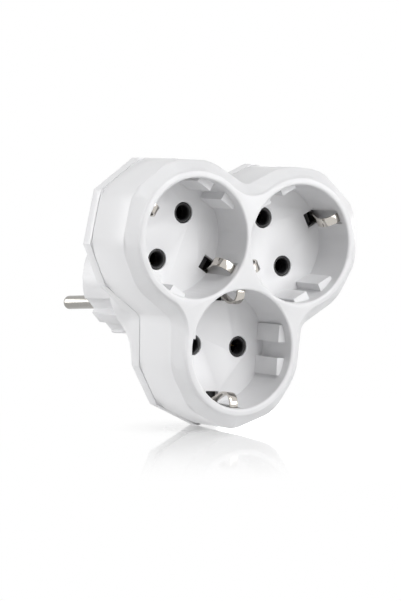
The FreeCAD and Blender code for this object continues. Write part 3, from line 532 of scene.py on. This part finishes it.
def socket_nodes(tree, given, pair):
    """A pair of rims at each socket, turned to face the adapter's middle."""
    sockets = linked(tree, "GeometryNodeMeshCircle", {"Radius": given["Socket circle"]},
                     Vertices=len(SOCKET_ANGLES))
    first = linked(tree, "GeometryNodeTransform", {"Geometry": sockets.outputs["Mesh"]},
                   Rotation=(0.0, 0.0, math.radians(SOCKET_ANGLES["right"])))
    depth = linked(tree, "ShaderNodeCombineXYZ", {"Y": given["Depth"]})
    placed = linked(tree, "GeometryNodeTransform",
                    {"Geometry": first.outputs["Geometry"], "Translation": depth.outputs[0]},
                    Rotation=(math.radians(90), 0.0, 0.0))
    place = tree.nodes.new("GeometryNodeInputPosition")
    turn = linked(tree, "FunctionNodeAlignRotationToVector",
                  {"Vector": place.outputs["Position"]})
    turn.axis = "X"
    turn.pivot_axis = "Y"
    pairs = linked(tree, "GeometryNodeInstanceOnPoints",
                   {"Points": placed.outputs["Geometry"], "Instance": pair,
                    "Rotation": turn.outputs["Rotation"]})
    return pairs.outputs["Instances"]


def sleeve_rims_tree():
    """A node tree that sets a rounded rim round every pin hole, two to each socket."""
    tree = bpy.data.node_groups.new("sleeve_rims", "GeometryNodeTree")
    for name in ("Socket circle", "Pin spacing", "Depth", "Rim radius", "Rim thickness"):
        tree.interface.new_socket(name, in_out="INPUT", socket_type="NodeSocketFloat")
    tree.interface.new_socket("Material", in_out="INPUT", socket_type="NodeSocketMaterial")
    tree.interface.new_socket("Geometry", in_out="OUTPUT", socket_type="NodeSocketGeometry")
    given = tree.nodes.new("NodeGroupInput").outputs
    rims = socket_nodes(tree, given, pair_nodes(tree, given, rim_nodes(tree, given)))
    real = linked(tree, "GeometryNodeRealizeInstances", {"Geometry": rims})
    finished = linked(tree, "GeometryNodeSetMaterial",
                      {"Geometry": real.outputs["Geometry"], "Material": given["Material"]})
    linked(tree, "NodeGroupOutput", {"Geometry": finished.outputs["Geometry"]})
    return tree


def set_inputs(modifier, values):
    """Set a node modifier's inputs by name, through their sockets' identifiers."""
    identifiers = {item.name: item.identifier
                   for item in modifier.node_group.interface.items_tree
                   if item.in_out == "INPUT"}
    for name, value in values.items():
        modifier[identifiers[name]] = value


class ADAPTER_OT_sleeve_rims(bpy.types.Operator):
    """Make the rounded black rims round the sockets' pin holes."""
    bl_idname = "adapter.sleeve_rims"
    bl_label = "Sleeve rims"

    def execute(self, context):
        chosen = settings("adapter_inserts")
        rims = new_object("sleeve_rims", bpy.data.meshes.new("sleeve_rims"))
        modifier = rims.modifiers.new("rims", "NODES")
        modifier.node_group = sleeve_rims_tree()
        set_inputs(modifier, {
            "Socket circle": SOCKET_CIRCLE,
            "Pin spacing": PIN_SPACING,
            "Depth": chosen.rim_depth,
            "Rim radius": chosen.rim_radius,
            "Rim thickness": chosen.rim_thickness,
            "Material": black_plastic(),
        })
        bake(rims)
        rims.data.polygons.foreach_set("use_smooth", [True] * len(rims.data.polygons))
        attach(rims, "root")
        return {"FINISHED"}


class ADAPTER_OT_contacts(bpy.types.Operator):
    """Make the brass contacts and busbars."""
    bl_idname = "adapter.contacts"
    bl_label = "Contacts"

    def execute(self, context):
        bar_brass = brass("busbar_brass")[0]
        # The contacts' brass gets painted shade at its mouths, for the shade deep in the pin holes.
        tube_brass_painted_shade = brass_with_painted_shade("contact_brass")
        radius = settings("adapter_metal").edge_radius
        for pole in ("line", "neutral"):
            finish_node(pole + "_busbar", bar_brass, radius)
            for side in SOCKET_ANGLES:
                finish_node("%s_contact_%s" % (pole, side), tube_brass_painted_shade, radius)
        return {"FINISHED"}


class ADAPTER_OT_earth(bpy.types.Operator):
    """Make the nickel earth strips and their clips."""
    bl_idname = "adapter.earth"
    bl_label = "Earth strips"

    def execute(self, context):
        chosen = settings("adapter_metal")
        material = nickel("strip_nickel", chosen.nickel, roughness=0.06, stretch=(1.0, 1.0, 5.0))
        for side in SOCKET_ANGLES:
            finish_node("earth_bracket_" + side, material, chosen.edge_radius,
                        shape=lambda mesh: narrow_clips(mesh, side, chosen.clip_share))
        for node in ("earth_busbar", "plug_earth_strip"):
            finish_node(node, material, chosen.edge_radius)
        return {"FINISHED"}


class ADAPTER_OT_pins(bpy.types.Operator):
    """Make the plug's pins."""
    bl_idname = "adapter.pins"
    bl_label = "Pins"

    def execute(self, context):
        chosen = settings("adapter_metal")
        material = nickel("pin_nickel", chosen.pin, roughness=0.22, stretch=(1.0, 8.0, 1.0))
        for node in ("plug_pin_line", "plug_pin_neutral"):
            finish_node(node, material, chosen.edge_radius)
        return {"FINISHED"}


class ADAPTER_OT_screws(bpy.types.Operator):
    """Make the housing's screws."""
    bl_idname = "adapter.screws"
    bl_label = "Screws"

    def execute(self, context):
        material = zinc_steel()
        radius = settings("adapter_metal").edge_radius
        for side in SOCKET_ANGLES:
            finish_node("housing_screw_" + side, material, radius)
        return {"FINISHED"}


# Stage

def camera_axes(chosen):
    """Right, up and forward of the camera, from its yaw, pitch and roll."""
    forward = Vector((-math.sin(chosen.yaw) * math.cos(chosen.pitch),
                      math.cos(chosen.yaw) * math.cos(chosen.pitch),
                      -math.sin(chosen.pitch)))
    level = Vector((math.cos(chosen.yaw), math.sin(chosen.yaw), 0.0))
    upright = level.cross(forward)
    right = level * math.cos(chosen.roll) + upright * math.sin(chosen.roll)
    up = upright * math.cos(chosen.roll) - level * math.sin(chosen.roll)
    return right, up, forward


def add_camera(chosen, right, up, forward):
    """The camera at the photograph's angle."""
    lens = bpy.data.cameras.new("camera")
    lens.sensor_fit = "HORIZONTAL"
    lens.sensor_width = 36.0
    lens.lens = chosen.lens
    lens.clip_start = CLIP_NEAR
    lens.clip_end = CLIP_FAR
    camera = new_object("camera", lens)
    matrix = Matrix((right, up, -forward)).transposed().to_4x4()
    matrix.translation = -(right * chosen.offset[0] + up * chosen.offset[1]
                           + forward * chosen.distance)
    camera.matrix_world = matrix
    bpy.context.scene.camera = camera


def seen_directly(tree):
    """One for what the camera, a mirror or glass shows and nought for light that bounces,
    and one for the camera alone."""
    path = tree.nodes.new("ShaderNodeLightPath").outputs
    shown = combined(tree, "MAXIMUM", path["Is Camera Ray"], path["Is Glossy Ray"])
    return combined(tree, "MAXIMUM", shown, path["Is Transmission Ray"]), path["Is Camera Ray"]


def ramp_along(tree, distance, stops):
    """A share that follows a distance smoothly through a list of stops."""
    share = None
    for (start, low), (end, high) in zip(stops, stops[1:]):
        base = low if share is None else 0.0
        step = linked(tree, "ShaderNodeMapRange", {"Value": distance}, From_Min=start,
                      From_Max=end, To_Min=base, To_Max=base + high - low)
        step.interpolation_type = "SMOOTHSTEP"
        result = step.outputs["Result"]
        share = result if share is None else combined(tree, "ADD", share, result)
    return share


def reflection_share(tree, chosen, place, ahead):
    """How much the floor mirrors: full under the object, at low angles alone."""
    depth = linked(tree, "ShaderNodeVectorMath", {0: place})
    depth.operation = "DOT_PRODUCT"
    depth.inputs[1].default_value = ahead
    along = ramp_along(tree, depth.outputs["Value"], [
        (-chosen.reflection_reach, 0.0), (0.0, chosen.reflection),
        (MIRROR_FULL_BEHIND, chosen.reflection), (MIRROR_END_BEHIND, 0.0)])
    facing = tree.nodes.new("ShaderNodeLayerWeight")
    low = linked(tree, "ShaderNodeMapRange", {"Value": facing.outputs["Facing"]},
                 From_Min=LOW_ANGLES[0], From_Max=LOW_ANGLES[1])
    return combined(tree, "MULTIPLY", along, low.outputs["Result"])


def shadow_share(tree, chosen, place, centre):
    """How much the floor shows its shade: only close to the object's foot."""
    away = linked(tree, "ShaderNodeVectorMath", {0: place})
    away.operation = "DISTANCE"
    away.inputs[1].default_value = centre
    return ramp_along(tree, away.outputs["Value"],
                      [(0.0, chosen.shadow), (chosen.shadow_reach, 0.0)])


def floor_material(chosen, ahead, contact):
    """A white floor, clear from below, with the object's reflection and shadow close to it."""
    material = bpy.data.materials.new("floor")
    material.use_nodes = True
    tree = material.node_tree
    tree.nodes.clear()
    place = tree.nodes.new("ShaderNodeTexCoord").outputs["Object"]
    reflection = reflection_share(tree, chosen, place, ahead)
    shade = shadow_share(tree, chosen, place, contact - ahead * SHADOW_FORWARD)
    plain = linked(tree, "ShaderNodeEmission", Color=(1, 1, 1, 1)).outputs["Emission"]
    lit = linked(tree, "ShaderNodeBsdfDiffuse", Color=(*chosen.floor_colour, 1)).outputs["BSDF"]
    mirror = linked(tree, "ShaderNodeBsdfGlossy", Color=(1, 1, 1, 1), Roughness=MIRROR_ROUGHNESS)
    clear = tree.nodes.new("ShaderNodeBsdfTransparent").outputs["BSDF"]
    below = tree.nodes.new("ShaderNodeNewGeometry").outputs["Backfacing"]
    direct, camera_ray = seen_directly(tree)
    shown = mixed(tree, shade, plain, lit)
    shown = mixed(tree, reflection, shown, mirror.outputs["BSDF"])
    shown = mixed(tree, camera_ray, plain, shown)
    above = mixed(tree, direct, lit, shown)
    linked(tree, "ShaderNodeOutputMaterial", {"Surface": mixed(tree, below, above, clear)})
    return material


def lowest_point(up):
    """How far the object reaches against a direction, and where."""
    reach, place = 0.0, Vector()
    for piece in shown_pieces():
        for vertex in piece.data.vertices:
            if vertex.co.dot(up) < reach:
                reach, place = vertex.co.dot(up), vertex.co.copy()
    return reach, place


def add_floor(chosen, right, up, forward):
    """The floor that the object touches, with its front side up."""
    reach, contact = lowest_point(up)
    corners = [tuple(forward * (FLOOR_HALF * along) + right * (FLOOR_HALF * across) + up * reach)
               for along, across in ((-1, -1), (-1, 1), (1, 1), (1, -1))]
    mesh = bpy.data.meshes.new("floor")
    mesh.from_pydata(corners, [], [(0, 1, 2, 3)])
    mesh.materials.append(floor_material(chosen, forward, contact))
    new_object("floor", mesh)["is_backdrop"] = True


def add_lamp(name, place, size, power):
    """A square soft lamp that faces the object."""
    light = bpy.data.lights.new(name, "AREA")
    light.shape = "SQUARE"
    light.size = size
    light.energy = power
    lamp = new_object(name, light)
    lamp.location = place
    lamp.rotation_euler = (Vector(AIM) - Vector(place)).to_track_quat("-Z", "Y").to_euler()


def add_world(chosen):
    """Even pale light, and pure white wherever the camera or a mirror meets the background."""
    world = bpy.data.worlds.new("studio")
    bpy.context.scene.world = world
    world.use_nodes = True
    tree = world.node_tree
    tree.nodes.clear()
    even = linked(tree, "ShaderNodeBackground", Color=(1, 1, 1, 1),
                  Strength=chosen.world_strength)
    plain = linked(tree, "ShaderNodeBackground", Color=(1, 1, 1, 1), Strength=1.0)
    direct, _ = seen_directly(tree)
    light = mixed(tree, direct, even.outputs["Background"], plain.outputs["Background"])
    linked(tree, "ShaderNodeOutputWorld", {"Surface": light})


class ADAPTER_OT_stage(bpy.types.Operator):
    """Set the camera, the floor, the lamps and the background."""
    bl_idname = "adapter.stage"
    bl_label = "Stage"

    def execute(self, context):
        chosen = settings("adapter_stage")
        right, up, forward = camera_axes(chosen)
        add_camera(chosen, right, up, forward)
        turn = Matrix.Rotation(chosen.floor_pitch, 3, right)
        add_floor(chosen, right, turn @ up, turn @ forward)
        add_world(chosen)
        for name, place, size in LAMPS:
            add_lamp(name, place, size, getattr(chosen, name))
        context.scene.view_settings.view_transform = "Standard"
        return {"FINISHED"}


class ADAPTER_PT_panel(bpy.types.Panel):
    """Buttons and settings of the adapter, in the sidebar."""
    bl_idname = "ADAPTER_PT_panel"
    bl_label = "Socket Adapter"
    bl_space_type = "VIEW_3D"
    bl_region_type = "UI"
    bl_category = "Adapter"

    def draw(self, context):
        layout = self.layout
        for operator in OPERATORS:
            layout.operator(operator.bl_idname)
        for name, group in SETTING_GROUPS.items():
            box = layout.box()
            for key in group.__annotations__:
                box.prop(getattr(context.scene, name), key)


SETTING_GROUPS = {
    "adapter_housing": HousingSettings,
    "adapter_inserts": InsertSettings,
    "adapter_metal": MetalSettings,
    "adapter_stage": StageSettings,
}
OPERATORS = (ADAPTER_OT_housings, ADAPTER_OT_inserts, ADAPTER_OT_sleeve_rims,
             ADAPTER_OT_contacts, ADAPTER_OT_earth, ADAPTER_OT_pins, ADAPTER_OT_screws,
             ADAPTER_OT_stage)
CLASSES = (*SETTING_GROUPS.values(), *OPERATORS, ADAPTER_PT_panel)


def register():
    """Register the classes and give the scene its groups of settings."""
    for entry in CLASSES:
        bpy.utils.register_class(entry)
    for name, group in SETTING_GROUPS.items():
        setattr(bpy.types.Scene, name, bpy.props.PointerProperty(type=group))


def unregister():
    """Take the groups of settings and the classes away again."""
    for name in SETTING_GROUPS:
        delattr(bpy.types.Scene, name)
    for entry in reversed(CLASSES):
        bpy.utils.unregister_class(entry)


def main():
    """Make every piece and the stage."""
    register()
    bpy.ops.adapter.housings()
    bpy.ops.adapter.inserts()
    bpy.ops.adapter.sleeve_rims()
    bpy.ops.adapter.contacts()
    bpy.ops.adapter.earth()
    bpy.ops.adapter.pins()
    bpy.ops.adapter.screws()
    bpy.ops.adapter.stage()


if __name__ == "__main__":
    main()
